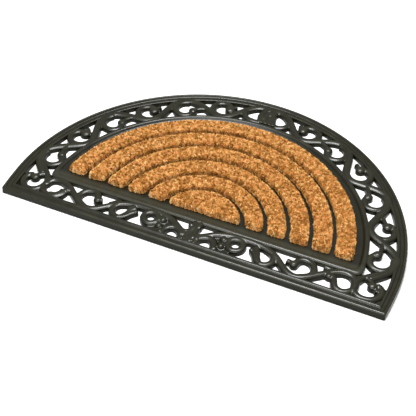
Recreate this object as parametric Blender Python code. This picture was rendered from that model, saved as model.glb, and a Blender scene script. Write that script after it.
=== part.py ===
"""A half-round coir doormat, lying flat, as it is made.

One charcoal rubber moulding has a beaded rim, an openwork border of scrolls and a flat tray. Six cropped
coir inlays lie in the tray, five half rings around a half disc, with bare rubber grooves between them.

The lengths below are in millimetres. Layout points are written from the middle of the straight front
edge, x to the right and y to the back, and place() moves them to the part's frame, which has its origin
under the middle of the mat's box, +Y to the back and +Z up.
"""
import math
from collections import namedtuple

import bmesh
import bpy
from mathutils import Vector

MM = 0.001

# Driving dimensions
WIDTH = 750.0
DEPTH = 450.0
ARC_RADIUS = WIDTH / 2
ARC_CENTRE = DEPTH - ARC_RADIUS
CORNER_ROUND = 3.0
CORNER_FLARE = 3.0
FLARE_DEPTH = 60.0
SPARE_FOOT = -2.0
ARC_STEPS = 48

# The rim and the tray: insets from the round edge and from the straight edge, and heights
Row = namedtuple("Row", "arc_inset front_inset height")
RIM_ROWS = (
    Row(-0.16, -0.16, SPARE_FOOT),
    Row(1.0, 1.0, 12.2),
    Row(2.8, 2.8, 13.8),
    Row(7.0, 8.0, 9.8),
    Row(12.2, 14.5, 9.2),
    Row(15.4, 18.2, 10.7),
    Row(18.8, 22.7, 8.8),
    Row(19.3, 23.3, SPARE_FOOT),
)
TRAY_FLOOR = 5.5
TRAY_CORNER_ROUND = 14.0
TRAY_ROWS = (
    Row(66.0, 70.1, SPARE_FOOT),
    Row(66.4, 70.5, 8.0),
    Row(70.4, 75.4, 10.5),
    Row(73.4, 78.6, 7.0),
    Row(78.0, 83.0, TRAY_FLOOR),
)

# The scroll rods: a flat foot, upright sides and a raised back
ROD_SHOULDER = 8.7
ROD_BACK = 11.0
ROD_STEP = 10.5
VINE_WIDTH = 14.2
FRONT_VINE_WIDTH = 12.6
RING_WIDTH = 11.8
LEAF_WIDTH = 9.6
NECK_WIDTH = 8.0

# The ball ends: shares of the ball's radius and heights, from the crown down to the foot
BallRow = namedtuple("BallRow", "share height")
BALL_ROWS = (
    BallRow(0.3, 12.3),
    BallRow(0.75, 11.1),
    BallRow(1.0, ROD_SHOULDER),
    BallRow(1.0, SPARE_FOOT),
)
BALL_SIDES = 8

# A scroll of the round border, along and across the band from the crest that it springs from
SCROLL_CENTRE = (6.5, -3.0)
SCROLL_RADII = (25.5, 17.5)
SCROLL_SWEEP = (115.0, -158.0)

# Its ball end and the neck that ties the ball to the vine. Those that turn in are alike.
Scroll = namedtuple("Scroll", "ball radius neck")
TURNED_IN = Scroll((-9.0, -9.0), 9.0, ((-10.0, -8.0), (-19.0, -4.0), (-36.0, -2.0)))
SPUR = ((-8.0, -5.0), (-15.0, -8.0), (-22.0, -12.0))
RIGHT_SCROLLS = (
    TURNED_IN,
    Scroll((-4.0, -9.0), 9.5, ((-6.0, -7.0), (-16.0, -5.5), (-26.0, -4.0))),
    TURNED_IN,
    Scroll((-7.0, -10.0), 9.8, ((-8.0, -10.0), (-16.0, -11.0), (-24.0, -12.0))),
    TURNED_IN,
    Scroll((-9.0, -3.0), 10.5, SPUR),
)
LEFT_SCROLLS = (
    TURNED_IN,
    Scroll((-9.0, -4.0), 11.0, SPUR),
    TURNED_IN,
    Scroll((-7.0, -4.0), 10.5, SPUR),
    TURNED_IN,
    Scroll((-9.0, -1.5), 10.5, SPUR),
)

# The pair of scrolls and the leaf at the middle of the back
BACK_SCROLL = 4.2
BACK_CENTRE = (4.0, -1.0)
BACK_RADII = (23.0, 18.5)
BACK_SWEEP = (80.0, -100.0)
BACK_LEAF = ((0.0, 20.0), (0.0, -2.0), (0.0, -22.0))
BACK_LEAF_WIDTH = 32.0
Rod = namedtuple("Rod", "points width")
RIGHT_STEMS = (
    Rod(((-18.0, 22.0), (-12.0, 0.0), (-3.0, -22.0)), 12.0),
)
LEFT_STEMS = (
    Rod(((-16.0, 22.0), (-10.0, 2.0), (-13.0, -12.0), (-14.0, -22.0)), 12.0),
    Rod(((6.0, -20.5), (-5.0, -20.5), (-16.0, -20.5)), 11.0),
)

# The straight border: rods of the right half, which are mirrored to the left
FRONT_VINE = (
    (-8, 24), (0, 31), (12, 38), (28, 49), (45, 60), (70, 67), (100, 69), (130, 66), (154, 56), (172, 41),
    (185, 30), (200, 24), (217, 28), (240, 45), (258, 59), (276, 67.5), (291, 66.5), (300, 59), (303, 48),
)
TROUGH_SCROLL = ((208, 25), (226, 36), (230, 50), (223, 63), (209, 68), (199, 63), (195, 53))
FRONT_RODS = (
    Rod(FRONT_VINE, FRONT_VINE_WIDTH),
    Rod(((334, 58), (327, 66), (320, 72)), LEAF_WIDTH),
    Rod(TROUGH_SCROLL, RING_WIDTH),
    Rod(((138, 26), (128, 33), (122, 42), (114, 51)), LEAF_WIDTH),
    Rod(((136, 28), (129, 39), (125, 50), (118, 60)), LEAF_WIDTH),
    Rod(((14, 20), (17, 36), (30, 45), (41, 43), (48, 34), (50, 20)), RING_WIDTH),
    Rod(((44, 51), (56, 54), (62, 44), (60, 32), (60, 20)), 16.0),
    Rod(((66, 62), (64, 48)), 14.0),
    Rod(((66, 20), (74, 34)), 16.0),
    Rod(((0, 24), (14, 24)), 16.0),
    Rod(((299, 20), (305, 31)), 16.0),
    Rod(((296, 73), (306, 71)), 10.0),
    Rod(((356, 18), (348, 36)), 18.0),
    Rod(((344, 60), (357, 54)), 10.0),
)

# The two corners and the scrolls beside them, which differ a little from left to right
RIGHT_FRONT = (
    Rod(((343, 97), (324, 81), (308, 66)), 10.0),
    Rod((
        (309, 68), (304, 57), (303, 45), (306, 34), (315, 27), (326, 25), (338, 28), (347, 37), (350, 48),
        (346, 58), (338, 62),
    ), RING_WIDTH),
    Rod(((338, 54), (343, 47)), 8.0),
    Rod(((284, 25), (275, 29), (270, 36), (267, 45), (262, 51), (256, 51)), 11.5),
    Rod(((262, 64), (243, 66)), 8.0),
    Rod(((192.5, 50.5), (179, 53.5)), LEAF_WIDTH),
    Rod(((2.5, 74), (2.5, 56), (1, 40), (0, 18)), 21.0),
)
LEFT_FRONT = (
    Rod(((342, 98), (324, 83), (310, 69)), 9.0),
    Rod((
        (312, 70), (306, 58), (305, 48), (308, 37), (315, 29), (326, 25), (338, 28), (346, 37), (349, 48),
        (346, 58), (338, 62),
    ), RING_WIDTH),
    Rod(((284, 25), (272, 28), (264, 37), (262, 47)), 17.0),
    Rod(((192, 50), (184, 53)), LEAF_WIDTH),
    Rod(((150, 63), (158, 58.5), (168, 49.5)), 10.0),
    Rod(((130, 52), (123, 62)), LEAF_WIDTH),
    Rod(((19, 43), (7, 46)), 10.0),
)
Arc = namedtuple("Arc", "centre radius start end")
FRONT_ARCS = (
    Arc((284, 46), 21.0, 20.0, -95.0),
    Arc((140.5, 43), 17.0, 40.0, -100.0),
    Arc((83.3, 49.8), 13.8, 0.0, 360.0),
)
Ball = namedtuple("Ball", "centre radius")
FRONT_BALLS = (
    Ball((332, 57), 9.0),
    Ball((193, 50), 8.2),
    Ball((257, 49), 7.0),
    Ball((114, 50), 5.0),
)

# The vine of the round border: a wave about its middle line, one scroll to each half wave.
# Angles are in degrees about the round edge's centre, from the front edge's direction up to the back.
BAND_RADIUS = 333.0
VINE_MIDDLE = 334.8
VINE_SWING = 24.8
VINE_START = 0.7
VINE_END = 89.2
VINE_STEP = 12.0
Side = namedtuple("Side", "sign first_crest half_wave lag scrolls stems front_rods")
SIDES = (
    Side(1, 8.4, 13.05, 0.35, RIGHT_SCROLLS, RIGHT_STEMS, RIGHT_FRONT),
    Side(-1, 8.7, 13.35, 0.7, LEFT_SCROLLS, LEFT_STEMS, LEFT_FRONT),
)

# The coir: five half rings and a half disc, cut along one straight front line
PILE_TOP = 18.5
PILE_FOOT = TRAY_FLOOR + 0.3
PILE_FRONT = 97.5
PILE_SHOULDER = 3.0
PILE_CORNER = 8.0
PILE_OUTER = (284.0, 242.3, 200.6, 158.9, 117.2, 75.5)
PILE_INNER = (250.2, 208.6, 167.0, 125.4, 83.8, 0.0)
PILE_ARC_STEP = 20.0

# Colours, linear, with roughness
RUBBER_COLOUR = (0.050, 0.050, 0.046, 1.0)
RUBBER_ROUGHNESS = 0.55
COIR_COLOUR = (0.50, 0.22, 0.060, 1.0)
COIR_ROUGHNESS = 0.95


def place(x, y, z=0.0):
    """A layout point in millimetres as a vector in the part's frame."""
    return Vector((x * MM, (y - DEPTH / 2) * MM, z * MM))


def polar(angle, radius):
    """A layout point on a circle about the round edge's centre."""
    turn = math.radians(angle)
    return (radius * math.cos(turn), ARC_CENTRE + radius * math.sin(turn))


def clear_scene():
    for item in list(bpy.data.objects):
        bpy.data.objects.remove(item, do_unlink=True)


def new_collection(name):
    collection = bpy.data.collections.new(name)
    bpy.context.scene.collection.children.link(collection)
    return collection


def make_material(name, colour, roughness):
    material = bpy.data.materials.new(name)
    material.use_nodes = True
    shader = material.node_tree.nodes["Principled BSDF"]
    shader.inputs["Base Color"].default_value = colour
    shader.inputs["Roughness"].default_value = roughness
    shader.inputs["Metallic"].default_value = 0.0
    return material


def mesh_object(name, bm, collection):
    """A closed bmesh as a named object, with its faces pointing out."""
    bmesh.ops.recalc_face_normals(bm, faces=bm.faces)
    mesh = bpy.data.meshes.new(name)
    bm.to_mesh(mesh)
    bm.free()
    item = bpy.data.objects.new(name, mesh)
    collection.objects.link(item)
    return item


def make_tool(item):
    """Marks a piece that is only joined to another one."""
    item.hide_render = True
    item.display_type = "WIRE"
    return item


def capped_arc(radius, front, corner_round, turn, count):
    """An arc about the round edge's centre that ends on a line across the front, with rounded corners.

    It runs from the right end to the left one. The corners turn inwards along the line where turn is 1,
    and outwards where it is -1. A corner is one point, the middle of the curve that rounds it.
    """
    rise = front - ARC_CENTRE
    corner = Vector((math.sqrt(radius ** 2 - rise ** 2), front))
    start = math.degrees(math.asin(rise / radius) + corner_round / radius)
    flat = corner - Vector((turn * corner_round, 0.0))
    bend = (Vector(polar(start, radius)) + flat + corner * 2) / 4
    sweep = 180.0 - 2 * start
    ring = [polar(start + sweep * i / count, radius) for i in range(count + 1)]
    return [tuple(flat), tuple(bend)] + ring + [(-bend.x, bend.y), (-flat.x, flat.y)]


def flared(x, y):
    """An outline point moved out a little where the round edge runs down to the front corner."""
    return (x + math.copysign(CORNER_FLARE * max(0.0, 1.0 - y / FLARE_DEPTH) ** 2, x), y)


def outline_loop(bm, row, corner_round):
    """The mat's outline, inset by a row of a section, as a closed loop of points at the row's height."""
    points = capped_arc(ARC_RADIUS - row.arc_inset, row.front_inset, corner_round, 1, ARC_STEPS)
    return [bm.verts.new(place(*flared(x, y), row.height)) for x, y in points]


def loft_outlines(bm, rows, corner_round):
    """Walls between the outlines of a section's rows, one after the other."""
    loops = [outline_loop(bm, row, corner_round) for row in rows]
    for lower, upper in zip(loops, loops[1:]):
        join_loops(bm, lower, upper)
    return loops


def join_loops(bm, lower, upper):
    """A band of four-sided faces between two closed loops with as many points each."""
    for i, corner in enumerate(lower):
        bm.faces.new((lower[i - 1], corner, upper[i], upper[i - 1]))


def make_rim(collection):
    """The beaded rim: a closed section carried all round the outline."""
    bm = bmesh.new()
    loops = loft_outlines(bm, RIM_ROWS, CORNER_ROUND)
    join_loops(bm, loops[-1], loops[0])
    return mesh_object("rubber_moulding", bm, collection)


def make_tray(collection):
    """The tray and its raised lip, one plate that the openwork is moulded to."""
    bm = bmesh.new()
    loops = loft_outlines(bm, TRAY_ROWS, TRAY_CORNER_ROUND)
    bm.faces.new(loops[0][::-1])
    bm.faces.new(loops[-1])
    return make_tool(mesh_object("tray", bm, collection))


def make_floor_cutter(collection):
    """A block whose top is the floor, which takes the spare foot off the whole moulding at once."""
    bm = bmesh.new()
    bmesh.ops.create_cube(bm, size=1.0)
    bmesh.ops.scale(bm, verts=bm.verts, vec=(2 * WIDTH * MM, 2 * WIDTH * MM, WIDTH * MM))
    bmesh.ops.translate(bm, verts=bm.verts, vec=(0.0, 0.0, -WIDTH * MM / 2))
    return make_tool(mesh_object("floor_cutter", bm, collection))


def smooth_path(points, step=ROD_STEP):
    """Points at even steps along a smooth curve through the given ones."""
    knots = [Vector(p) for p in points]
    if len(knots) == 2:
        return knots
    guide = [knots[0] * 2 - knots[1]] + knots + [knots[-1] * 2 - knots[-2]]
    path = [knots[0]]
    for before, here, there, after in zip(guide, guide[1:], guide[2:], guide[3:]):
        count = max(1, round((there - here).length / step))
        for i in range(1, count + 1):
            t = i / count
            bend = 2 * before - 5 * here + 4 * there - after
            swell = 3 * here - 3 * there + after - before
            path.append((2 * here + (there - before) * t + bend * t ** 2 + swell * t ** 3) / 2)
    return path


def arc_points(centre, radii, start, end):
    """Points along an arc whose radius eases from the first of two radii to the second."""
    count = math.ceil(math.radians(abs(end - start)) * max(radii) / ROD_STEP)
    points = []
    for i in range(count + 1):
        share = i / count
        turn = math.radians(start + (end - start) * share)
        radius = radii[1] + (radii[0] - radii[1]) * (1 - share) ** 2
        points.append((centre[0] + radius * math.cos(turn), centre[1] + radius * math.sin(turn)))
    return points


def rod_section(width):
    """The rod's closed section, a curve object for the bevel of the rods of one width."""
    half = width / 2 * MM
    foot = SPARE_FOOT * MM
    shoulder = ROD_SHOULDER * MM
    outline = ((-half, foot), (-half, shoulder), (0.0, ROD_BACK * MM), (half, shoulder), (half, foot))
    curve = bpy.data.curves.new("rod_section", "CURVE")
    spline = curve.splines.new("POLY")
    spline.points.add(len(outline) - 1)
    for point, (x, y) in zip(spline.points, outline):
        point.co = (x, y, 0.0, 1.0)
    spline.use_cyclic_u = True
    return bpy.data.objects.new("rod_section", curve)


def make_rod(collection, points, width, closed=False):
    """One rod of the openwork, a curve swept with the rod section and made a mesh."""
    section = rod_section(width)
    curve = bpy.data.curves.new("rod", "CURVE")
    curve.dimensions = "3D"
    curve.twist_mode = "Z_UP"
    curve.bevel_mode = "OBJECT"
    curve.bevel_object = section
    curve.use_fill_caps = not closed
    spline = curve.splines.new("POLY")
    spline.points.add(len(points) - 1)
    for point, (x, y) in zip(spline.points, points):
        point.co = (*place(x, y), 1.0)
    spline.use_cyclic_u = closed
    carrier = bpy.data.objects.new("rod", curve)
    for item in (section, carrier):
        collection.objects.link(item)
    bpy.context.view_layer.update()
    mesh = bpy.data.meshes.new_from_object(carrier.evaluated_get(bpy.context.evaluated_depsgraph_get()))
    bm = bmesh.new()
    bm.from_mesh(mesh)
    bmesh.ops.remove_doubles(bm, verts=bm.verts, dist=0.00001)
    for item in (section, carrier):
        bpy.data.objects.remove(item, do_unlink=True)
    bpy.data.meshes.remove(mesh)
    return make_tool(mesh_object("rod", bm, collection))


def make_ball(collection, centre, radius):
    """The ball end of a scroll: a low dome on an upright foot, turned about its middle."""
    bm = bmesh.new()
    verts = [bm.verts.new((radius * row.share * MM, 0.0, row.height * MM)) for row in BALL_ROWS]
    edges = [bm.edges.new(pair) for pair in zip(verts, verts[1:])]
    bmesh.ops.spin(
        bm, geom=verts + edges, cent=(0, 0, 0), axis=(0, 0, 1), angle=2 * math.pi, steps=BALL_SIDES,
        use_merge=True,
    )
    bmesh.ops.holes_fill(bm, edges=bm.edges)
    bmesh.ops.translate(bm, verts=bm.verts, vec=place(*centre))
    return make_tool(mesh_object("ball", bm, collection))


def band_point(side, crest, flip, along, across):
    """A point of the round band, along it from a crest to the corner and across it to the crest's side."""
    angle = crest - math.degrees(along / BAND_RADIUS)
    x, y = polar(angle, BAND_RADIUS + flip * across)
    return (side.sign * x, y)


def make_side_vine(collection, side):
    """The wave rod of one side of the round border, from its corner to the middle of the back."""
    start = side.first_crest - side.half_wave * VINE_START
    end = VINE_END if side.sign > 0 else 180.0 - VINE_END
    count = round(math.radians(end - start) * BAND_RADIUS / VINE_STEP)
    points = []
    for i in range(count + 1):
        angle = start + (end - start) * i / count
        phase = math.pi * (angle + side.lag - side.first_crest) / side.half_wave
        x, y = polar(angle, VINE_MIDDLE + VINE_SWING * math.cos(phase))
        points.append((side.sign * x, y))
    make_rod(collection, points, VINE_WIDTH)


def make_side_scrolls(collection, side):
    """The scrolls of one side, turned in and out by turns, with their balls and necks."""
    for number, scroll in enumerate(side.scrolls):
        crest = side.first_crest + side.half_wave * number
        flip = 1 if number % 2 == 0 else -1
        ring = arc_points(SCROLL_CENTRE, SCROLL_RADII, *SCROLL_SWEEP)
        make_rod(collection, [band_point(side, crest, flip, *p) for p in ring], RING_WIDTH)
        make_ball(collection, band_point(side, crest, flip, *scroll.ball), scroll.radius)
        make_rod(collection, [band_point(side, crest, flip, *p) for p in scroll.neck], NECK_WIDTH)


def make_back_middle(collection):
    """The pair of open scrolls and the broad leaf where the two vines meet at the back."""
    for side in SIDES:
        middle = VINE_END if side.sign > 0 else 180.0 - VINE_END
        crest = middle - BACK_SCROLL
        ring = arc_points(BACK_CENTRE, BACK_RADII, *BACK_SWEEP)
        for rod in (Rod(ring, RING_WIDTH), *side.stems):
            make_rod(collection, [band_point(side, crest, 1, *p) for p in rod.points], rod.width)
    leaf = [band_point(SIDES[0], VINE_END, 1, *p) for p in BACK_LEAF]
    make_rod(collection, leaf, BACK_LEAF_WIDTH)


def make_front_border(collection):
    """The straight border, its right half and then its left one."""
    for side in SIDES:
        for rod in FRONT_RODS + side.front_rods:
            make_rod(collection, [(side.sign * x, y) for x, y in smooth_path(rod.points)], rod.width)
        for arc in FRONT_ARCS:
            points = arc_points(arc.centre, (arc.radius, arc.radius), arc.start, arc.end)
            closed = abs(arc.end - arc.start) == 360.0
            if closed:
                points.pop()
            make_rod(collection, [(side.sign * x, y) for x, y in points], RING_WIDTH, closed)
        for ball in FRONT_BALLS:
            make_ball(collection, (side.sign * ball.centre[0], ball.centre[1]), ball.radius)


def make_rubber(collection, tools, cutters, material):
    """The whole moulding: the rim, with the tray and every rod and ball joined to it.

    The rods cross at one height and share their feet's plane, where the exact solver leaves edges that
    touch, so the union and the cut that levels the foot are both solved as manifolds.
    """
    rim = make_rim(collection)
    make_tray(tools)
    for side in SIDES:
        make_side_vine(tools, side)
        make_side_scrolls(tools, side)
    make_back_middle(tools)
    make_front_border(tools)
    union = rim.modifiers.new("union", "BOOLEAN")
    union.operation = "UNION"
    union.operand_type = "COLLECTION"
    union.collection = tools
    union.solver = "MANIFOLD"
    level = rim.modifiers.new("level_foot", "BOOLEAN")
    level.operation = "DIFFERENCE"
    level.object = make_floor_cutter(cutters)
    level.solver = "MANIFOLD"
    rim.data.materials.append(material)
    return rim


def pile_outline(outer, inner):
    """A coir inlay's outline, round its outer arc and back along its inner one, if it has one."""
    count = round(math.pi * outer / PILE_ARC_STEP)
    points = capped_arc(outer, PILE_FRONT, PILE_CORNER, 1, count)
    if inner:
        count = round(math.pi * inner / PILE_ARC_STEP)
        points += capped_arc(inner, PILE_FRONT, PILE_CORNER, -1, count)[::-1]
    return points


def make_pile(name, collection, outer, inner, material):
    """One coir inlay: its outline raised to the pile's top, with a rounded shoulder all round."""
    bm = bmesh.new()
    verts = [bm.verts.new(place(x, y, PILE_FOOT)) for x, y in pile_outline(outer, inner)]
    foot = bm.faces.new(verts)
    raised = bmesh.ops.extrude_face_region(bm, geom=[foot])["geom"]
    top = [g for g in raised if isinstance(g, bmesh.types.BMVert)]
    bmesh.ops.translate(bm, verts=top, vec=(0.0, 0.0, (PILE_TOP - PILE_FOOT) * MM))
    rims = [g for g in raised if isinstance(g, bmesh.types.BMEdge)]
    bmesh.ops.bevel(
        bm, geom=rims, offset=PILE_SHOULDER * MM, offset_type="OFFSET", segments=2, profile=0.5,
        affect="EDGES", material=-1,
    )
    pile = mesh_object(name, bm, collection)
    pile.data.materials.append(material)
    return pile


def main():
    clear_scene()
    parts = new_collection("coir_doormat")
    tools = new_collection("openwork")
    cutters = new_collection("cutters")
    rubber = make_material("moulded_rubber", RUBBER_COLOUR, RUBBER_ROUGHNESS)
    coir = make_material("cropped_coir", COIR_COLOUR, COIR_ROUGHNESS)
    make_rubber(parts, tools, cutters, rubber)
    names = [f"coir_ring_{i}" for i in range(1, len(PILE_OUTER))] + ["coir_half_disc"]
    for name, outer, inner in zip(names, PILE_OUTER, PILE_INNER):
        make_pile(name, parts, outer, inner, coir)


main()
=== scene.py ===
"""The looks of a half-round coir doormat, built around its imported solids.

One charcoal rubber moulding has a beaded rim, an openwork border of scrolls and a flat tray. Six cropped
coir inlays lie in the tray. The rubber is made as a rim, a tray and three stretches of openwork, and each
inlay as a bed of tufts.

Layout points are in millimetres from the middle of the straight front edge, x to the right and y to the
back. place() moves them to the frame, in metres.
"""
import math
from collections import namedtuple

import bmesh
import bpy
from mathutils import Matrix, Vector


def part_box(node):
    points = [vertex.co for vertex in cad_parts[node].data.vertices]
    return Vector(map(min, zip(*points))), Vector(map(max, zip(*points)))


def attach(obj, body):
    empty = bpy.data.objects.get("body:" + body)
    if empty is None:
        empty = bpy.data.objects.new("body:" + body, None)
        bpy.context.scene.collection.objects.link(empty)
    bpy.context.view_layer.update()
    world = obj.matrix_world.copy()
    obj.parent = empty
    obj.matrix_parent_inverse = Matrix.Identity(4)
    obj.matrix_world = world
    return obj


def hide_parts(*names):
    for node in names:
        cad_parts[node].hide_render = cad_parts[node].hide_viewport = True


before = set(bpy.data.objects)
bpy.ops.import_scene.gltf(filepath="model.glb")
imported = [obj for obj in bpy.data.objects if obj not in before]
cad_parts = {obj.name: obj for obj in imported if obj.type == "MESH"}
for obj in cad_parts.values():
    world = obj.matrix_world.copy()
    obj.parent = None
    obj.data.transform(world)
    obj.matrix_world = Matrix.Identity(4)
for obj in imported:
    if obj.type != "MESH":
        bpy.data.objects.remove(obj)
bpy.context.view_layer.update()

MM = 0.001

# The mat's outline, as in the solids
WIDTH = 750.0
DEPTH = 450.0
ARC_RADIUS = WIDTH / 2
ARC_CENTRE = DEPTH - ARC_RADIUS
CORNER_ROUND = 3.0
CORNER_FLARE = 3.0
FLARE_DEPTH = 60.0
CORNER_STEPS = 6
ARC_STEPS = 210
FRONT_STEPS = 90

# Sections of the rim and of the tray with its lip, from the outer foot inwards
Row = namedtuple("Row", "arc_inset front_inset height")
RIM_ROWS = (
    Row(0.0, 0.0, 0.0),
    Row(0.3, 0.3, 5.0),
    Row(0.6, 0.6, 11.0),
    Row(0.9, 0.9, 12.3),
    Row(1.8, 1.8, 13.0),
    Row(3.1, 3.1, 13.55),
    Row(4.4, 4.6, 13.75),
    Row(5.5, 5.9, 13.0),
    Row(6.4, 7.1, 11.4),
    Row(7.6, 8.6, 9.9),
    Row(9.4, 10.8, 9.2),
    Row(11.4, 13.4, 9.0),
    Row(12.7, 15.0, 9.0),
    Row(12.9, 15.3, 9.2),
    Row(13.6, 16.2, 9.85),
    Row(14.7, 17.5, 10.5),
    Row(15.9, 19.0, 10.75),
    Row(17.1, 20.7, 10.55),
    Row(18.3, 22.1, 9.9),
    Row(19.0, 23.0, 8.2),
    Row(19.3, 23.3, 0.0),
)
TRAY_ROWS = (
    Row(66.0, 70.1, 0.0),
    Row(66.2, 70.3, 5.0),
    Row(66.5, 70.7, 8.2),
    Row(67.4, 71.9, 9.4),
    Row(68.9, 73.5, 10.3),
    Row(70.8, 75.3, 10.7),
    Row(72.7, 77.1, 10.6),
    Row(74.5, 78.9, 9.8),
    Row(76.1, 80.5, 8.3),
    Row(77.8, 82.2, 6.6),
    Row(80.0, 84.4, 5.7),
    Row(84.0, 89.0, 5.5),
)
TRAY_CORNER_ROUND = 14.0
ROW_PARTS = 3

# Edges sharper than this stay sharp, in degrees
SECTION_SHARP = 50
OPENWORK_SHARP = 60

# The scroll rods: upright sides that spread a little to the foot, and a raised back, higher on broad rods
ROD_SHOULDER = 8.4
ROD_CREST = 9.6
ROD_CREST_SHARE = 0.12
ROD_BACK_POWER = 1.5
ROD_DRAFT = 0.8
ROD_FULLNESS = 0.3
ROD_SIDE_POINTS = 7
ROD_STEP = 3.0
WEB_DROP = 2.6
SPARE_FOOT = -3.0
VINE_WIDTH = 14.2
FRONT_VINE_WIDTH = 12.6
RING_WIDTH = 11.8
LEAF_WIDTH = 9.6
NECK_WIDTH = 8.0

# How the rods run together: double points, the remesh's cells and the rounds of smoothing
MERGE_DISTANCE = 0.01
VOXEL = 1.15
SMOOTHING = 5

# Balls of this radius and over have the full height, and small ones not much less
FULL_BALL = 9.0
BALL_MIDDLE = 7.0
BALL_TOP = 12.8
LEAST_BALL_SHARE = 0.75
BALL_SEGMENTS = 24
BALL_RINGS = 16

# A scroll of the round border, along and across the band from the crest that it springs from
SCROLL_CENTRE = (6.5, -3.0)
SCROLL_RADII = (25.5, 17.5)
SCROLL_SWEEP = (115.0, -158.0)

# Its ball end and the neck that ties the ball to the vine. Those that turn in are alike.
Scroll = namedtuple("Scroll", "ball radius neck")
TURNED_IN = Scroll((-9.0, -9.0), 9.0, ((-10.0, -8.0), (-19.0, -4.0), (-36.0, -2.0)))
SPUR = ((-8.0, -5.0), (-15.0, -8.0), (-22.0, -12.0))
RIGHT_SCROLLS = (
    TURNED_IN,
    Scroll((-4.0, -9.0), 9.5, ((-6.0, -7.0), (-16.0, -5.5), (-26.0, -4.0))),
    TURNED_IN,
    Scroll((-7.0, -10.0), 9.8, ((-8.0, -10.0), (-16.0, -11.0), (-24.0, -12.0))),
    TURNED_IN,
    Scroll((-9.0, -3.0), 10.5, SPUR),
)
LEFT_SCROLLS = (
    TURNED_IN,
    Scroll((-9.0, -4.0), 11.0, SPUR),
    TURNED_IN,
    Scroll((-7.0, -4.0), 10.5, SPUR),
    TURNED_IN,
    Scroll((-9.0, -1.5), 10.5, SPUR),
)

# The pair of scrolls at the middle of the back, and the cluster of leaves and buds between them
Rod = namedtuple("Rod", "points width")
Ball = namedtuple("Ball", "centre radius")
BACK_SCROLL = 4.2
BACK_CENTRE = (4.0, -1.0)
BACK_RADII = (23.0, 18.5)
BACK_SWEEP = (80.0, -100.0)
BACK_LEAVES = (
    Rod(((-9.0, 20.0), (-11.0, 0.0), (-8.0, -22.0)), 11.0),
    Rod(((2.0, 20.0), (-2.0, 0.0), (1.0, -22.0)), 12.0),
    Rod(((11.0, 20.0), (9.0, 0.0), (11.0, -22.0)), 11.0),
)
BACK_BUDS = (
    Ball((4.0, 8.0), 6.5),
    Ball((-5.0, -7.0), 6.5),
)
RIGHT_STEMS = (
    Rod(((-18.0, 22.0), (-12.0, 0.0), (-3.0, -22.0)), 12.0),
)
LEFT_STEMS = (
    Rod(((-16.0, 22.0), (-10.0, 2.0), (-13.0, -12.0), (-14.0, -22.0)), 12.0),
    Rod(((6.0, -20.5), (-5.0, -20.5), (-16.0, -20.5)), 11.0),
)

# The straight border: rods of the right half, which are mirrored to the left
FRONT_VINE = (
    (-8, 24), (0, 31), (12, 38), (28, 49), (45, 60), (70, 67), (100, 69), (130, 66), (154, 56), (172, 41),
    (185, 30), (200, 24), (217, 28), (240, 45), (258, 59), (276, 67.5), (291, 66.5), (300, 59), (303, 48),
)
TROUGH_SCROLL = ((208, 25), (226, 36), (230, 50), (223, 63), (209, 68), (199, 63), (195, 53))
FRONT_RODS = (
    Rod(FRONT_VINE, FRONT_VINE_WIDTH),
    Rod(((334, 58), (327, 66), (320, 72)), LEAF_WIDTH),
    Rod(TROUGH_SCROLL, RING_WIDTH),
    Rod(((138, 26), (128, 33), (122, 42), (114, 51)), LEAF_WIDTH),
    Rod(((136, 28), (129, 39), (125, 50), (118, 60)), LEAF_WIDTH),
    Rod(((14, 20), (17, 36), (30, 45), (41, 43), (48, 34), (50, 20)), RING_WIDTH),
)

# Lower webs that fill the gaps between the rods of a half
FRONT_WEBS = (
    Rod(((44, 51), (56, 54), (62, 44), (60, 32), (60, 20)), 16.0),
    Rod(((66, 62), (64, 48)), 14.0),
    Rod(((66, 20), (74, 34)), 16.0),
    Rod(((0, 24), (14, 24)), 16.0),
    Rod(((299, 20), (305, 31)), 16.0),
    Rod(((296, 73), (306, 71)), 10.0),
    Rod(((356, 18), (348, 36)), 18.0),
    Rod(((344, 60), (357, 54)), 10.0),
)

# The two corners and the scrolls beside them, which differ a little from left to right
RIGHT_FRONT = (
    Rod(((343, 97), (324, 81), (308, 66)), 10.0),
    Rod((
        (309, 68), (304, 57), (303, 45), (306, 34), (315, 27), (326, 25), (338, 28), (347, 37), (350, 48),
        (346, 58), (338, 62),
    ), RING_WIDTH),
    Rod(((338, 54), (343, 47)), 8.0),
    Rod(((284, 25), (275, 29), (270, 36), (267, 45), (262, 51), (256, 51)), 11.5),
    Rod(((262, 64), (243, 66)), 8.0),
    Rod(((192.5, 50.5), (179, 53.5)), LEAF_WIDTH),
    Rod(((-3, 75), (-1, 60), (-4, 44), (-1, 18)), 12.0),
    Rod(((8, 75), (5, 60), (6, 42), (2, 18)), 12.0),
)
LEFT_FRONT = (
    Rod(((342, 98), (324, 83), (310, 69)), 9.0),
    Rod((
        (312, 70), (306, 58), (305, 48), (308, 37), (315, 29), (326, 25), (338, 28), (346, 37), (349, 48),
        (346, 58), (338, 62),
    ), RING_WIDTH),
    Rod(((284, 25), (272, 28), (264, 37), (262, 47)), 17.0),
    Rod(((192, 50), (184, 53)), LEAF_WIDTH),
    Rod(((150, 63), (158, 58.5), (168, 49.5)), 10.0),
    Rod(((130, 52), (123, 62)), LEAF_WIDTH),
    Rod(((19, 43), (7, 46)), 10.0),
)
Arc = namedtuple("Arc", "centre radius start end")
FRONT_ARCS = (
    Arc((284, 46), 21.0, 20.0, -95.0),
    Arc((140.5, 43), 17.0, 40.0, -100.0),
    Arc((83.3, 49.8), 13.8, 0.0, 360.0),
)
FRONT_BALLS = (
    Ball((332, 57), 9.0),
    Ball((193, 50), 8.2),
    Ball((257, 49), 7.0),
    Ball((114, 50), 5.0),
)

# Small buds on the webs, beside the middle scrolls
FRONT_BUDS = (
    Ball((60, 53), 7.0),
    Ball((61, 37), 6.5),
    Ball((53, 25), 6.0),
    Ball((8, 62), 5.5),
    Ball((15, 34), 6.0),
)

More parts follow.
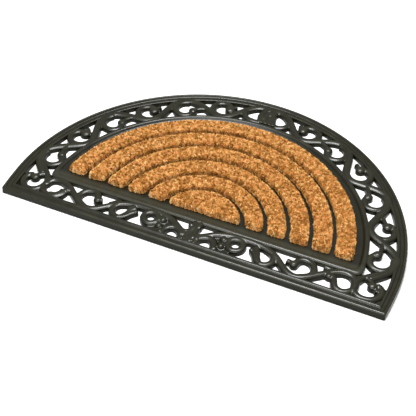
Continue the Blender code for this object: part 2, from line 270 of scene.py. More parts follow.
# The vine of the round border: a wave about its middle line, one scroll to each half wave
BAND_RADIUS = 333.0
VINE_MIDDLE = 334.8
VINE_SWING = 24.8
VINE_START = 0.7
VINE_END = 89.2
Side = namedtuple("Side", "name sign first_crest half_wave lag scrolls stems front_rods")
SIDES = (
    Side("scrolls_right", 1, 8.4, 13.05, 0.35, RIGHT_SCROLLS, RIGHT_STEMS, RIGHT_FRONT),
    Side("scrolls_left", -1, 8.7, 13.35, 0.7, LEFT_SCROLLS, LEFT_STEMS, LEFT_FRONT),
)

# The coir: five half rings and a half disc, cut along one straight front line
PILE_FRONT = 97.5
PILE_SHOULDER = 2.8
PILE_CORNER = 6.0
PILE_OUTER = (284.0, 242.3, 200.6, 158.9, 117.2, 75.5)
PILE_INNER = (250.2, 208.6, 167.0, 125.4, 83.8, 0.0)
PILE_ARC_STEP = 5.0
PILE_VOXEL = 1.9
PILE_SUNK = 1.4
PILE_INSET = 1.6

# The tufts that the pile is made of stand about 3.8 mm apart, and their sides are lumps that run down
TUFTS_A_METRE = 260.0
TUFT_COLUMN = 0.3
TUFT_REACH = (0.1, 0.75)
TUFT_SWELL = 0.9
TUFT_GAP = -1.3

# The whole top rolls a little, in waves of about 17 mm
WAVES_A_METRE = 60.0
PILE_ROLL = 0.5

# The sides spread towards the foot, between these heights
PILE_SPREAD = 2.2
SPREAD_FOOT = 5.5
SPREAD_TOP = 10.0

# Painted light makes the pile's low sides pale at the open front, and painted shade darkens them elsewhere,
# in the grooves
PAINTED_FOOT_LIGHT = 0.3
PAINTED_GROOVE_SHADE = -0.08
OPEN_FRONT = (PILE_FRONT + 2, PILE_FRONT + 6)
SIDE_FOOT = 9.0
SIDE_TOP = 16.5

# A fibre's tone is a share of its tuft's and a chance of its own
TUFT_SHARE = 0.7
FIBRE_CHANCE = (-0.05, 0.4)
GROUND_TONE = 0.1
GROUND_WARMTH = 0.6

# Coir fibre is about 0.3 mm thick. It is drawn here as tapered bundles, four to five times as coarse.
FIBRE_DENSITY = 850000.0
FIBRE_RADIUS = 0.8
FIBRE_LENGTH = 3.2
FIBRE_STRETCH = (0.7, 1.25)
FIBRE_SUNK = 0.6
FIBRE_LEAN = ((-0.7, -0.7, 0.9), (0.7, 0.7, 1.3))
FIBRE_SPIN = ((0.0, 0.0, -3.14), (0.0, 0.0, 3.14))

# Colours, as a screen shows them, by place on a ramp
RUBBER_TONES = ((0.15, "#131309"), (0.5, "#1a1a10"), (0.85, "#252518"))
DUST_AND_PAINTED_LIGHT_RUBBER = "#2a2a20"
GOLDEN_COIR = ((0.0, "#704a18"), (0.25, "#b08036"), (0.5, "#d9aa5b"), (0.75, "#f1c77f"), (1.0, "#ffe6ac"))
RUSSET_COIR = ((0.0, "#66390c"), (0.25, "#a46626"), (0.5, "#d0904a"), (0.75, "#eaac66"), (1.0, "#ffcd93"))

# The rubber: heights of its channels and beads, where coir dust and painted light lie on the tray, and its
# gloss on sides and on top
CHANNEL_HEIGHT = 5.0
BEAD_HEIGHT = 13.5
DUST_AND_LIGHT_FRONT = 90.0
DUST_AND_LIGHT_BACK = 98.0
RUBBER_ROUGHNESS = (0.25, 0.34)
RUBBER_SHEEN = (0.14, 0.5)
UPRIGHT_TO_FLAT = (0.1, 0.6)

# Patterns, in waves to a metre: clouds of about 26 mm, a mould grain of about 1 mm and flecks of about 2 mm
RUBBER_CLOUDS = 38.0
RUBBER_GRAIN = 900.0
GRAIN_HEIGHT = 0.2
COIR_FLECKS = 420.0

Lamp = namedtuple("Lamp", "name spot aim size_x size_y power")
LAMPS = (
    Lamp("softbox_overhead", (0.0, 0.05, 1.65), (0.05, -0.05, 0.0), 0.9, 0.16, 36.0),
    Lamp("softbox_front", (0.1, -1.3, 1.6), (0.0, -0.1, 0.0), 1.8, 1.2, 29.0),
)
SKY_STRENGTH = 0.42
FLOOR_TONE = "#f0f0f0"
FLOOR_HALF = 6.0
FLOOR_DROP = 0.0002

# The camera, solved from the mat's outline in the photograph, in metres and degrees
CAMERA_SPOT = (0.46973, -1.18981, 1.15473)
CAMERA_AIM = (-0.00157, -0.10262, 0.0)
CAMERA_ROLL = 0.784
FOCAL_PIXELS = 894.37
PHOTO_PIXELS = 416
SENSOR = 36.0


def place(x, y, z=0.0):
    """A layout point in millimetres as a vector in the frame."""
    return Vector((x * MM, (y - DEPTH / 2) * MM, z * MM))


def polar(angle, radius):
    """A layout point on a circle about the round edge's centre."""
    turn = math.radians(angle)
    return (radius * math.cos(turn), ARC_CENTRE + radius * math.sin(turn))


def linear(code, alpha=1.0):
    """A hex colour, as a screen shows it, as linear red, green, blue and alpha."""
    shares = [int(code[i:i + 2], 16) / 255 for i in (1, 3, 5)]
    return tuple(s / 12.92 if s <= 0.04045 else ((s + 0.055) / 1.055) ** 2.4 for s in shares) + (alpha,)


def add(tree, kind, inputs=None, **settings):
    """One node with its settings, and its inputs given as values or as outputs of other nodes."""
    node = tree.nodes.new(kind)
    for name, value in settings.items():
        setattr(node, name, value)
    for socket, value in (inputs or {}).items():
        if isinstance(value, bpy.types.NodeSocket):
            tree.links.new(value, node.inputs[socket])
        else:
            node.inputs[socket].default_value = value
    return node


def ramp(tree, factor, stops):
    """A colour ramp with a stop for each pair of place and hex colour."""
    node = add(tree, "ShaderNodeValToRGB", {"Fac": factor})
    points = node.color_ramp.elements
    while len(points) < len(stops):
        points.new(1.0)
    for point, (spot, code) in zip(points, stops):
        point.position = spot
        point.color = linear(code)
    return node.outputs["Color"]


def calculate(tree, operation, *values, **settings):
    """A number worked out from others."""
    return add(tree, "ShaderNodeMath", dict(enumerate(values)), operation=operation, **settings).outputs[0]


def map_range(tree, value, before, after=(0.0, 1.0), **settings):
    """A number moved from one range to another, and held inside it."""
    sockets = {
        "Value": value,
        "From Min": before[0],
        "From Max": before[1],
        "To Min": after[0],
        "To Max": after[1],
    }
    return add(tree, "ShaderNodeMapRange", sockets, **settings).outputs["Result"]


def separate(tree, vector):
    """The three parts of a vector or colour, as X, Y and Z."""
    return add(tree, "ShaderNodeSeparateXYZ", {0: vector}).outputs


def noise(tree, coords, scale, detail):
    """A soft random pattern, with its scale in waves to a metre."""
    sockets = {"Vector": coords, "Scale": scale, "Detail": detail}
    return add(tree, "ShaderNodeTexNoise", sockets).outputs["Fac"]


def blend(tree, share, first, second):
    """The first colour, with a share of the second mixed in."""
    return add(
        tree, "ShaderNodeMix", {0: share, 6: first, 7: second}, data_type="RGBA", blend_type="MIX",
    ).outputs[2]


def new_material(name):
    """A material with an empty node tree, its shader and the object's own coordinates."""
    material = bpy.data.materials.new(name)
    material.use_nodes = True
    tree = material.node_tree
    tree.nodes.clear()
    shader = add(tree, "ShaderNodeBsdfPrincipled")
    add(tree, "ShaderNodeOutputMaterial", {"Surface": shader.outputs["BSDF"]})
    coords = add(tree, "ShaderNodeTexCoord").outputs["Object"]
    return material, tree, shader, coords


def moulded_rubber(name, dust_and_painted_light=False):
    """Filled rubber, compression moulded: satin charcoal with an olive cast and a fine mould grain.

    The high beads are a little paler than the channels, by height. The upright sides are matt, and
    only what faces up has a sheen. The tray's is paler on its open face in front of the pile, partly coir
    dust and partly painted light that lifts the pile's shade.
    """
    material, tree, shader, coords = new_material(name)
    spot = separate(tree, coords)
    levels = (CHANNEL_HEIGHT * MM, BEAD_HEIGHT * MM)
    # Paler with height: the high beads lighter than the channels
    raised = map_range(tree, spot["Z"], levels, interpolation_type="SMOOTHSTEP")
    cloud = noise(tree, coords, RUBBER_CLOUDS, 4.0)
    tone = calculate(tree, "MULTIPLY", cloud, 0.55)
    tone = calculate(tree, "MULTIPLY_ADD", raised, 0.45, tone)
    colour = ramp(tree, tone, RUBBER_TONES)
    # The tray's open face in front of the pile is paler: partly coir dust, partly painted light lifting the
    # pile's shade
    if dust_and_painted_light:
        ends = (place(0, DUST_AND_LIGHT_FRONT).y, place(0, DUST_AND_LIGHT_BACK).y)
        share = map_range(tree, spot["Y"], ends, (1.0, 0.0))
        colour = blend(tree, share, colour, linear(DUST_AND_PAINTED_LIGHT_RUBBER))
    tree.links.new(colour, shader.inputs["Base Color"])
    facing = separate(tree, add(tree, "ShaderNodeNewGeometry").outputs["Normal"])
    sheen = map_range(tree, facing["Z"], UPRIGHT_TO_FLAT, RUBBER_SHEEN)
    tree.links.new(sheen, shader.inputs["Specular IOR Level"])
    tree.links.new(map_range(tree, cloud, (0.3, 0.7), RUBBER_ROUGHNESS), shader.inputs["Roughness"])
    shader.inputs["IOR"].default_value = 1.42
    # The mould grain is drawn at about twice its size, so that it shows
    grain = noise(tree, coords, RUBBER_GRAIN, 3.0)
    bump = add(tree, "ShaderNodeBump", {"Height": grain, "Strength": 0.1, "Distance": GRAIN_HEIGHT * MM})
    tree.links.new(bump.outputs["Normal"], shader.inputs["Normal"])
    return material


def cropped_coir():
    """Brown coir, the coconut's husk fibre, cropped level: golden brown tufts, pale at their cut ends.

    Each fibre carries a tone and a warmth of its own tuft, and runs from golden to russet by its warmth.
    """
    material, tree, shader, coords = new_material("cropped_coconut_fibre")
    tone = add(tree, "ShaderNodeAttribute", attribute_name="tuft_tone").outputs["Fac"]
    warmth = add(tree, "ShaderNodeAttribute", attribute_name="tuft_warmth").outputs["Fac"]
    # Flecks where single fibres cross
    fleck = calculate(tree, "MULTIPLY_ADD", noise(tree, coords, COIR_FLECKS, 2.0), 0.9, -0.47)
    mixed = calculate(tree, "ADD", fleck, tone, use_clamp=True)
    colour = blend(tree, warmth, ramp(tree, mixed, GOLDEN_COIR), ramp(tree, mixed, RUSSET_COIR))
    tree.links.new(colour, shader.inputs["Base Color"])
    shader.inputs["Roughness"].default_value = 0.85
    shader.inputs["IOR"].default_value = 1.5
    shader.inputs["Specular IOR Level"].default_value = 0.25
    return material


def finish_piece(name, mesh, material, node):
    """A finished mesh as a piece that rides on the mat and stands for its solid."""
    mesh.name = name
    mesh.materials.clear()
    mesh.materials.append(material)
    piece = bpy.data.objects.new(name, mesh)
    bpy.context.scene.collection.objects.link(piece)
    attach(piece, "root")
    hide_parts(node)
    return piece


def applied(item):
    """An object's mesh with its modifiers applied. The object is removed."""
    bpy.context.view_layer.update()
    evaluated = item.evaluated_get(bpy.context.evaluated_depsgraph_get())
    mesh = bpy.data.meshes.new_from_object(evaluated)
    bpy.data.objects.remove(item, do_unlink=True)
    return mesh


def draft(name, bm):
    """A bmesh as an object to be worked on."""
    mesh = bpy.data.meshes.new(name)
    bm.to_mesh(mesh)
    bm.free()
    item = bpy.data.objects.new(name, mesh)
    bpy.context.scene.collection.objects.link(item)
    return item


def bent(first, corner, last, steps):
    """Points of the curve that rounds a corner, from the first of its ends to the last."""
    shares = [i / steps for i in range(steps + 1)]
    return [first * (1 - t) ** 2 + corner * (2 * t * (1 - t)) + last * t ** 2 for t in shares]


def capped_arc(radius, front, corner_round, turn, count):
    """An arc about the round edge's centre that ends on a line across the front, with rounded corners.

    It runs from the right end to the left one. The corners turn inwards along the line where turn is 1,
    and outwards where it is -1.
    """
    rise = front - ARC_CENTRE
    corner = Vector((math.sqrt(radius ** 2 - rise ** 2), front))
    start = math.degrees(math.asin(rise / radius) + corner_round / radius)
    flat = corner - Vector((turn * corner_round, 0.0))
    bend = bent(flat, corner, Vector(polar(start, radius)), CORNER_STEPS)[:-1]
    sweep = 180.0 - 2 * start
    ring = [Vector(polar(start + sweep * i / count, radius)) for i in range(count + 1)]
    return bend + ring + [Vector((-p.x, p.y)) for p in reversed(bend)]


def flared(point):
    """An outline point moved out a little where the round edge runs down to the front corner."""
    flare = CORNER_FLARE * max(0.0, 1.0 - point.y / FLARE_DEPTH) ** 2
    return Vector((point.x + math.copysign(flare, point.x), point.y))


def outline(row, corner_round):
    """The mat's whole outline, inset by a row of a section, as layout points."""
    arc = capped_arc(ARC_RADIUS - row.arc_inset, row.front_inset, corner_round, 1, ARC_STEPS)
    points = [flared(p) for p in arc]
    first, last = points[-1], points[0]
    front = [first.lerp(last, i / FRONT_STEPS) for i in range(1, FRONT_STEPS)]
    return points + front


def between(before, here, there, after, t):
    """A value on the smooth curve through four, between the second and the third."""
    bend = 2 * before - 5 * here + 4 * there - after
    swell = 3 * here - 3 * there + after - before
    return (2 * here + (there - before) * t + bend * t ** 2 + swell * t ** 3) / 2


def smooth_path(points, step):
    """Points at about even steps along a smooth curve through the given ones."""
    knots = [Vector(p) for p in points]
    guide = [knots[0] * 2 - knots[1]] + knots + [knots[-1] * 2 - knots[-2]]
    path = [knots[0]]
    for near in zip(guide, guide[1:], guide[2:], guide[3:]):
        count = max(1, round((near[2] - near[1]).length / step))
        path += [between(*near, i / count) for i in range(1, count + 1)]
    return path


def smooth_rows(rows):
    """A section's rows with more of them in between, on a smooth curve."""
    knots = [Vector(row) for row in rows]
    guide = [knots[0] * 2 - knots[1]] + knots + [knots[-1] * 2 - knots[-2]]
    made = [knots[0]]
    for near in zip(guide, guide[1:], guide[2:], guide[3:]):
        made += [between(*near, i / ROW_PARTS) for i in range(1, ROW_PARTS + 1)]
    return [Row(*row) for row in made]


def carry_section(bm, rows, corner_round):
    """A section carried round the outline: a loop of edges, extruded from row to row.

    Returns the first and the last loop.
    """
    corners = [bm.verts.new(place(*p, rows[0].height)) for p in outline(rows[0], corner_round)]
    edges = [bm.edges.new((corners[i - 1], corners[i])) for i in range(len(corners))]
    first = list(edges)
    for row in rows[1:]:
        made = bmesh.ops.extrude_edge_only(bm, edges=edges)["geom"]
        raised = {g for g in made if isinstance(g, bmesh.types.BMVert)}
        ends = [[edge.other_vert(corner) for edge in corner.link_edges] for corner in corners]
        corners = [next(end for end in near if end in raised) for near in ends]
        for corner, point in zip(corners, outline(row, corner_round)):
            corner.co = place(*point, row.height)
        edges = [g for g in made if isinstance(g, bmesh.types.BMEdge) and set(g.verts) <= raised]
    return first, edges


def shade(mesh, angle):
    """Smooth shading, with edges sharper than an angle in degrees kept sharp."""
    mesh.shade_smooth()
    mesh.set_sharp_from_angle(angle=math.radians(angle))


def make_rim(material):
    """The beaded rim: two beads with a channel between them, closed underneath."""
    bm = bmesh.new()
    first, last = carry_section(bm, smooth_rows(RIM_ROWS), CORNER_ROUND)
    bmesh.ops.bridge_loops(bm, edges=first + last)
    bmesh.ops.recalc_face_normals(bm, faces=bm.faces)
    mesh = applied(draft("rim", bm))
    shade(mesh, SECTION_SHARP)
    return finish_piece("rim", mesh, material, "rubber_moulding")


def make_tray(material):
    """The flat tray and its raised lip, closed underneath."""
    bm = bmesh.new()
    for loop in carry_section(bm, smooth_rows(TRAY_ROWS), TRAY_CORNER_ROUND):
        bmesh.ops.edgeloop_fill(bm, edges=loop)
    bmesh.ops.recalc_face_normals(bm, faces=bm.faces)
    mesh = applied(draft("tray", bm))
    shade(mesh, SECTION_SHARP)
    return finish_piece("tray", mesh, material, "rubber_moulding")


def rod_section(width, drop):
    """The rod's closed section as a curve object: drafted sides and a back between a ridge and a round.

    A web is a rod whose back is dropped and flat.
    """
    half = width / 2 + ROD_FULLNESS
    shoulder = ROD_SHOULDER - drop
    rise = 0.0 if drop else ROD_CREST + ROD_CREST_SHARE * width - shoulder
    across = [math.cos(math.pi * i / (2 * ROD_SIDE_POINTS)) for i in range(ROD_SIDE_POINTS + 1)]
    side = [(half + ROD_DRAFT, SPARE_FOOT)]
    side += [(half * s, shoulder + rise * (1 - s ** ROD_BACK_POWER)) for s in across]
    outline_points = side + [(-x, z) for x, z in side[-2::-1]]
    curve = bpy.data.curves.new("rod_section", "CURVE")
    spline = curve.splines.new("POLY")
    spline.points.add(len(outline_points) - 1)
    for point, (x, z) in zip(spline.points, outline_points):
        point.co = (x * MM, z * MM, 0.0, 1.0)
    spline.use_cyclic_u = True
    item = bpy.data.objects.new("rod_section", curve)
    bpy.context.scene.collection.objects.link(item)
    return item


def add_rod(bm, points, width, closed=False, drop=0.0):
    """One rod of the openwork, swept along its points and added to the border's mesh."""
    section = rod_section(width, drop)
    curve = bpy.data.curves.new("rod", "CURVE")
    curve.dimensions = "3D"
    curve.twist_mode = "Z_UP"
    curve.bevel_mode = "OBJECT"
    curve.bevel_object = section
    curve.use_fill_caps = not closed
    spline = curve.splines.new("POLY")
    spline.points.add(len(points) - 1)
    for point, (x, y) in zip(spline.points, points):
        point.co = (*place(x, y), 1.0)
    spline.use_cyclic_u = closed
    carrier = bpy.data.objects.new("rod", curve)
    bpy.context.scene.collection.objects.link(carrier)
    mesh = applied(carrier)
    bm.from_mesh(mesh)
    bpy.data.meshes.remove(mesh)
    bpy.data.objects.remove(section, do_unlink=True)


def add_ball(bm, centre, radius):
    """The ball end of a scroll: an upper half of a flattened ball on an upright foot."""
    share = min(1.0, LEAST_BALL_SHARE + (1.0 - LEAST_BALL_SHARE) * radius / FULL_BALL)
    height = (BALL_TOP * share - BALL_MIDDLE) * MM
    flattened = Matrix.Diagonal((radius * MM, radius * MM, height, 1.0))
    bmesh.ops.create_uvsphere(
        bm, u_segments=BALL_SEGMENTS, v_segments=BALL_RINGS, radius=1.0,
        matrix=Matrix.Translation(place(*centre, BALL_MIDDLE)) @ flattened,
    )
    foot = BALL_MIDDLE - SPARE_FOOT
    bmesh.ops.create_cone(
        bm, cap_ends=True, segments=BALL_SEGMENTS, radius1=radius * MM, radius2=radius * MM, depth=foot * MM,
        matrix=Matrix.Translation(place(*centre, BALL_MIDDLE - foot / 2)),
    )


def arc_points(centre, radii, start, end):
    """Points along an arc whose radius eases from the first of two radii to the second."""
    count = math.ceil(math.radians(abs(end - start)) * max(radii) / ROD_STEP)
    points = []
    for i in range(count + 1):
        share = i / count
        turn = math.radians(start + (end - start) * share)
        radius = radii[1] + (radii[0] - radii[1]) * (1 - share) ** 2
        points.append((centre[0] + radius * math.cos(turn), centre[1] + radius * math.sin(turn)))
    return points


def band_point(side, crest, flip, along, across):
    """A point of the round band, along it from a crest to the corner and across it to the crest's side."""
    angle = crest - math.degrees(along / BAND_RADIUS)
    x, y = polar(angle, BAND_RADIUS + flip * across)
    return (side.sign * x, y)


def add_side_vine(bm, side):
    """The wave rod of one side of the round border, from its corner to the middle of the back."""
    start = side.first_crest - side.half_wave * VINE_START
    end = VINE_END if side.sign > 0 else 180.0 - VINE_END
    count = round(math.radians(end - start) * BAND_RADIUS / ROD_STEP)
    points = []
    for i in range(count + 1):
        angle = start + (end - start) * i / count
        phase = math.pi * (angle + side.lag - side.first_crest) / side.half_wave
        x, y = polar(angle, VINE_MIDDLE + VINE_SWING * math.cos(phase))
        points.append((side.sign * x, y))
    add_rod(bm, points, VINE_WIDTH)


def add_side_scrolls(bm, side):
    """The scrolls of one side, turned in and out by turns, with their balls and necks."""
    for number, scroll in enumerate(side.scrolls):
        crest = side.first_crest + side.half_wave * number
        flip = 1 if number % 2 == 0 else -1
        ring = arc_points(SCROLL_CENTRE, SCROLL_RADII, *SCROLL_SWEEP)
        for points, width in ((ring, RING_WIDTH), (smooth_path(scroll.neck, ROD_STEP), NECK_WIDTH)):
            add_rod(bm, [band_point(side, crest, flip, *p) for p in points], width)
        add_ball(bm, band_point(side, crest, flip, *scroll.ball), scroll.radius)


def add_back_middle(bm, side):
    """One of the open scrolls where the two vines meet at the back. The leaves go with the right one."""
    middle = VINE_END if side.sign > 0 else 180.0 - VINE_END
    crest = middle - BACK_SCROLL
    ring = arc_points(BACK_CENTRE, BACK_RADII, *BACK_SWEEP)
    add_rod(bm, [band_point(side, crest, 1, *p) for p in ring], RING_WIDTH)
    for rod in side.stems:
        path = smooth_path(rod.points, ROD_STEP)
        add_rod(bm, [band_point(side, crest, 1, *p) for p in path], rod.width)
    if side.sign > 0:
        for rod in BACK_LEAVES:
            path = smooth_path(rod.points, ROD_STEP)
            add_rod(bm, [band_point(side, VINE_END, 1, *p) for p in path], rod.width)
        for ball in BACK_BUDS:
            add_ball(bm, band_point(side, VINE_END, 1, *ball.centre), ball.radius)


def add_front_border(bm, side):
    """One half of the straight border."""
    for rods, drop in ((FRONT_RODS + side.front_rods, 0.0), (FRONT_WEBS, WEB_DROP)):
        for rod in rods:
            path = smooth_path(rod.points, ROD_STEP)
            add_rod(bm, [(side.sign * p.x, p.y) for p in path], rod.width, drop=drop)
    for arc in FRONT_ARCS:
        points = arc_points(arc.centre, (arc.radius, arc.radius), arc.start, arc.end)
        closed = abs(arc.end - arc.start) == 360.0
        if closed:
            points.pop()
        add_rod(bm, [(side.sign * x, y) for x, y in points], RING_WIDTH, closed)
    for ball in FRONT_BALLS + FRONT_BUDS:
        add_ball(bm, (side.sign * ball.centre[0], ball.centre[1]), ball.radius)


def fuse_openwork(name, bm, floor_block, material):
    """Rods and balls run together as in one moulding, with soft fillets, and cut level with the floor."""
    bmesh.ops.remove_doubles(bm, verts=bm.verts, dist=MERGE_DISTANCE * MM)
    bmesh.ops.recalc_face_normals(bm, faces=bm.faces)
    item = draft(name, bm)
    fuse = item.modifiers.new("fuse", "REMESH")
    fuse.mode = "VOXEL"
    fuse.voxel_size = VOXEL * MM
    soften = item.modifiers.new("soften", "SMOOTH")
    soften.factor = 0.5
    soften.iterations = SMOOTHING
    level = item.modifiers.new("level", "BOOLEAN")
    level.operation = "DIFFERENCE"
    level.object = floor_block
    level.solver = "MANIFOLD"
    mesh = applied(item)
    shade(mesh, OPENWORK_SHARP)
    return finish_piece(name, mesh, material, "rubber_moulding")


def make_openwork(material):
    """The scroll border in three stretches: the round border's two sides and the straight front."""
    block = bmesh.new()
    bmesh.ops.create_cube(block, size=WIDTH * 2 * MM, matrix=Matrix.Translation((0.0, 0.0, -WIDTH * MM)))
    floor_block = draft("floor_block", block)
    front = bmesh.new()
    for side in SIDES:
        bm = bmesh.new()
        add_side_vine(bm, side)
        add_side_scrolls(bm, side)
        add_back_middle(bm, side)
        fuse_openwork(side.name, bm, floor_block, material)
        add_front_border(front, side)
    fuse_openwork("scrolls_front", front, floor_block, material)
    bpy.data.objects.remove(floor_block, do_unlink=True)


def pile_slab(name, outer, inner):
    """The bed of one inlay: its outline raised to a little under the pile's top, its shoulders rounded."""
    low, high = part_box(name)
    count = round(math.pi * outer / PILE_ARC_STEP)
    front = PILE_FRONT + PILE_INSET
    points = capped_arc(outer - PILE_INSET, front, PILE_CORNER, 1, count)
    if inner:
        count = round(math.pi * inner / PILE_ARC_STEP)
        points += capped_arc(inner + PILE_INSET, front, PILE_CORNER, -1, count)[::-1]
    bm = bmesh.new()
    foot = bm.faces.new([bm.verts.new(place(*p, low.z / MM)) for p in points])
    raised = bmesh.ops.extrude_face_region(bm, geom=[foot])["geom"]
    top = [g for g in raised if isinstance(g, bmesh.types.BMVert)]
    bmesh.ops.translate(bm, verts=top, vec=(0.0, 0.0, high.z - low.z - PILE_SUNK * MM))
    rims = [g for g in raised if isinstance(g, bmesh.types.BMEdge)]
    bmesh.ops.bevel(
        bm, geom=rims, offset=PILE_SHOULDER * MM, offset_type="OFFSET", segments=4, profile=0.5,
        affect="EDGES", material=-1,
    )
    bmesh.ops.recalc_face_normals(bm, faces=bm.faces)
    item = draft(name, bm)
    fuse = item.modifiers.new("even_faces", "REMESH")
    fuse.mode = "VOXEL"
    fuse.voxel_size = PILE_VOXEL * MM
    return item


def tuft_cells(tree):
    """The cells that the tufts fill, in the pile's plan and drawn out downwards, as a Voronoi texture."""
    spot = add(tree, "GeometryNodeInputPosition").outputs[0]
    drawn = add(
        tree, "ShaderNodeVectorMath", {0: spot, 1: (1.0, 1.0, TUFT_COLUMN)}, operation="MULTIPLY",
    ).outputs[0]
    return add(tree, "ShaderNodeTexVoronoi", {"Vector": drawn, "Scale": TUFTS_A_METRE, "Randomness": 0.9})


def store(tree, geometry, name, value, domain):
    """The geometry with a number stored on it under a name."""
    return add(
        tree, "GeometryNodeStoreNamedAttribute", {"Geometry": geometry, "Name": name, "Value": value},
        data_type="FLOAT", domain=domain,
    ).outputs[0]


def random_vector(tree, ends, seed):
    """A vector between two others, drawn for each fibre."""
    low, high = ends
    return add(
        tree, "FunctionNodeRandomValue", {0: low, 1: high, "Seed": seed}, data_type="FLOAT_VECTOR",
    ).outputs[0]


def random_number(tree, ends, seed):
    """A number between two others, drawn for each fibre."""
    low, high = ends
    return add(tree, "FunctionNodeRandomValue", {2: low, 3: high, "Seed": seed}, data_type="FLOAT").outputs[1]


def swollen(tree, bed):
    """The bed swollen into tufts, with a rolling top and sides that spread towards the foot."""
    spot = add(tree, "GeometryNodeInputPosition").outputs[0]
    distance = tuft_cells(tree).outputs["Distance"]
    swell = map_range(tree, distance, TUFT_REACH, (TUFT_SWELL * MM, TUFT_GAP * MM))
    waves = noise(tree, spot, WAVES_A_METRE, 2.0)
    roll = map_range(tree, waves, (0.3, 0.7), (-PILE_ROLL * MM, PILE_ROLL * MM))
    levels = (SPREAD_FOOT * MM, SPREAD_TOP * MM)
    spread = map_range(tree, separate(tree, spot)["Z"], levels, (PILE_SPREAD * MM, 0.0))
    height = calculate(tree, "ADD", calculate(tree, "ADD", swell, roll), spread)
    normal = add(tree, "GeometryNodeInputNormal").outputs[0]
    lift = add(tree, "ShaderNodeVectorMath", {0: normal, "Scale": height}, operation="SCALE").outputs[0]
    return add(tree, "GeometryNodeSetPosition", {"Geometry": bed, "Offset": lift}).outputs[0]


def fibre_ends(tree, bumpy):
    """Short fibre ends all over the swollen bed, apart from its underside, as instances."""
    facing = separate(tree, add(tree, "GeometryNodeInputNormal").outputs[0])["Z"]
    open_side = add(tree, "FunctionNodeCompare", {0: facing, 1: -0.5}, operation="GREATER_THAN").outputs[0]
    seeds = add(
        tree, "GeometryNodeDistributePointsOnFaces",
        {"Mesh": bumpy, "Selection": open_side, "Density": FIBRE_DENSITY, "Seed": 7},
        distribute_method="RANDOM",
    )
    # Fibres stand nearly upright, and lean outwards at the sides of the pile
    lean = random_vector(tree, FIBRE_LEAN, 3)
    heading = add(
        tree, "ShaderNodeVectorMath", {0: seeds.outputs["Normal"], 1: lean}, operation="ADD",
    ).outputs[0]
    stand = add(tree, "FunctionNodeAlignRotationToVector", {"Vector": heading}, axis="Z").outputs[0]
    spin = random_vector(tree, FIBRE_SPIN, 4)
    turned = add(
        tree, "FunctionNodeRotateRotation", {"Rotation": stand, "Rotate By": spin}, rotation_space="LOCAL",
    ).outputs[0]
    fibre = add(
        tree, "GeometryNodeMeshCone",
        {"Vertices": 3, "Radius Top": 0.0, "Radius Bottom": FIBRE_RADIUS * MM, "Depth": FIBRE_LENGTH * MM},
        fill_type="NONE",
    ).outputs[0]
    sunk = add(
        tree, "GeometryNodeTransform", {"Geometry": fibre, "Translation": (0.0, 0.0, -FIBRE_SUNK * MM)},
    ).outputs[0]
    return add(
        tree, "GeometryNodeInstanceOnPoints",
        {
            "Points": seeds.outputs["Points"],
            "Instance": sunk,
            "Rotation": turned,
            "Scale": random_number(tree, FIBRE_STRETCH, 5),
        },
    ).outputs[0]


def fibre_tone(tree, tuft_own):
    """A fibre's tone: its tuft's and its own, with painted shade low in the grooves and painted light low at
    the open front.
    """
    tone = calculate(tree, "MULTIPLY_ADD", tuft_own, TUFT_SHARE, random_number(tree, FIBRE_CHANCE, 11))
    spot = separate(tree, add(tree, "GeometryNodeInputPosition").outputs[0])
    ends = [place(0, y).y for y in OPEN_FRONT]
    # Painted light on the low sides at the open front, and painted shade on the low sides elsewhere, most of
    # it in the grooves
    painted_light_and_shade = map_range(tree, spot["Y"], ends, (PAINTED_FOOT_LIGHT, PAINTED_GROOVE_SHADE))
    depth = map_range(tree, spot["Z"], (SIDE_FOOT * MM, SIDE_TOP * MM), (1.0, 0.0))
    return calculate(tree, "MULTIPLY_ADD", painted_light_and_shade, depth, tone)


def tuft_nodes():
    """Geometry nodes that swell a bed into tufts and set short fibre ends all over it."""
    tree = bpy.data.node_groups.new("tufts", "GeometryNodeTree")
    tree.interface.new_socket("Geometry", in_out="INPUT", socket_type="NodeSocketGeometry")
    tree.interface.new_socket("Geometry", in_out="OUTPUT", socket_type="NodeSocketGeometry")
    bumpy = swollen(tree, add(tree, "NodeGroupInput").outputs[0])
    own = separate(tree, tuft_cells(tree).outputs["Color"])
    toned = store(tree, fibre_ends(tree, bumpy), "tuft_tone", fibre_tone(tree, own["X"]), "INSTANCE")
    warmed = store(tree, toned, "tuft_warmth", own["Y"], "INSTANCE")
    realized = add(tree, "GeometryNodeRealizeInstances", {0: warmed}).outputs[0]
    ground = store(tree, bumpy, "tuft_tone", GROUND_TONE, "POINT")
    ground = store(tree, ground, "tuft_warmth", GROUND_WARMTH, "POINT")
    joined = add(tree, "GeometryNodeJoinGeometry")
    tree.links.new(ground, joined.inputs[0])
    tree.links.new(realized, joined.inputs[0])
    add(tree, "NodeGroupOutput", {0: joined.outputs[0]})
    return tree


def make_pile(name, outer, inner, tufts, material):
    """One coir inlay, its bed and its fibre ends in one mesh."""
    bed = pile_slab(name, outer, inner)
    grow = bed.modifiers.new("tufts", "NODES")
    grow.node_group = tufts
    mesh = applied(bed)
    mesh.shade_flat()
    return finish_piece(name.replace("coir", "pile"), mesh, material, name)


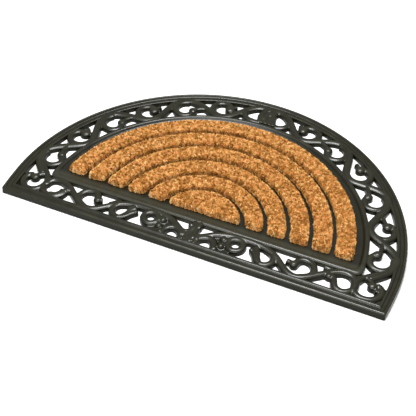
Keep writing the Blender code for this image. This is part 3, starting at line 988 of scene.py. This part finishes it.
def make_floor():
    """A plain pale floor under the mat."""
    bm = bmesh.new()
    level = Matrix.Translation((0.0, 0.0, -FLOOR_DROP))
    bmesh.ops.create_grid(bm, x_segments=1, y_segments=1, size=FLOOR_HALF, matrix=level)
    floor = draft("floor", bm)
    material, tree, shader, coords = new_material("plain_paper_floor")
    shader.inputs["Base Color"].default_value = linear(FLOOR_TONE)
    shader.inputs["Roughness"].default_value = 0.9
    shader.inputs["Specular IOR Level"].default_value = 0.1
    floor.data.materials.append(material)


def make_lights():
    """Soft studio light: a narrow lamp overhead that draws the beads, a broad one in front, and a sky."""
    for lamp in LAMPS:
        light = bpy.data.lights.new(lamp.name, "AREA")
        light.shape = "RECTANGLE"
        light.size = lamp.size_x
        light.size_y = lamp.size_y
        light.energy = lamp.power
        item = bpy.data.objects.new(lamp.name, light)
        bpy.context.scene.collection.objects.link(item)
        item.location = lamp.spot
        item.rotation_euler = (Vector(lamp.aim) - Vector(lamp.spot)).to_track_quat("-Z", "Y").to_euler()
    world = bpy.data.worlds.new("studio")
    world.use_nodes = True
    sky = world.node_tree.nodes["Background"]
    sky.inputs["Color"].default_value = (1.0, 1.0, 1.0, 1.0)
    sky.inputs["Strength"].default_value = SKY_STRENGTH
    bpy.context.scene.world = world
    bpy.context.scene.view_settings.view_transform = "Standard"


def make_camera():
    """A camera at the photograph's angle and distance."""
    data = bpy.data.cameras.new("camera")
    data.sensor_width = SENSOR
    data.lens = SENSOR * FOCAL_PIXELS / PHOTO_PIXELS
    camera = bpy.data.objects.new("camera", data)
    bpy.context.scene.collection.objects.link(camera)
    look = (Vector(CAMERA_AIM) - Vector(CAMERA_SPOT)).to_track_quat("-Z", "Y").to_matrix().to_4x4()
    roll = Matrix.Rotation(math.radians(CAMERA_ROLL), 4, "Z")
    camera.matrix_world = Matrix.Translation(CAMERA_SPOT) @ look @ roll
    bpy.context.scene.camera = camera


def main():
    make_camera()
    make_lights()
    make_floor()
    rubber = moulded_rubber("compression_moulded_rubber")
    make_rim(rubber)
    make_openwork(rubber)
    make_tray(moulded_rubber("compression_moulded_rubber_dusty", dust_and_painted_light=True))
    coir = cropped_coir()
    tufts = tuft_nodes()
    names = [f"coir_ring_{i}" for i in range(1, len(PILE_OUTER))] + ["coir_half_disc"]
    for name, outer, inner in zip(names, PILE_OUTER, PILE_INNER):
        make_pile(name, outer, inner, tufts, coir)


main()
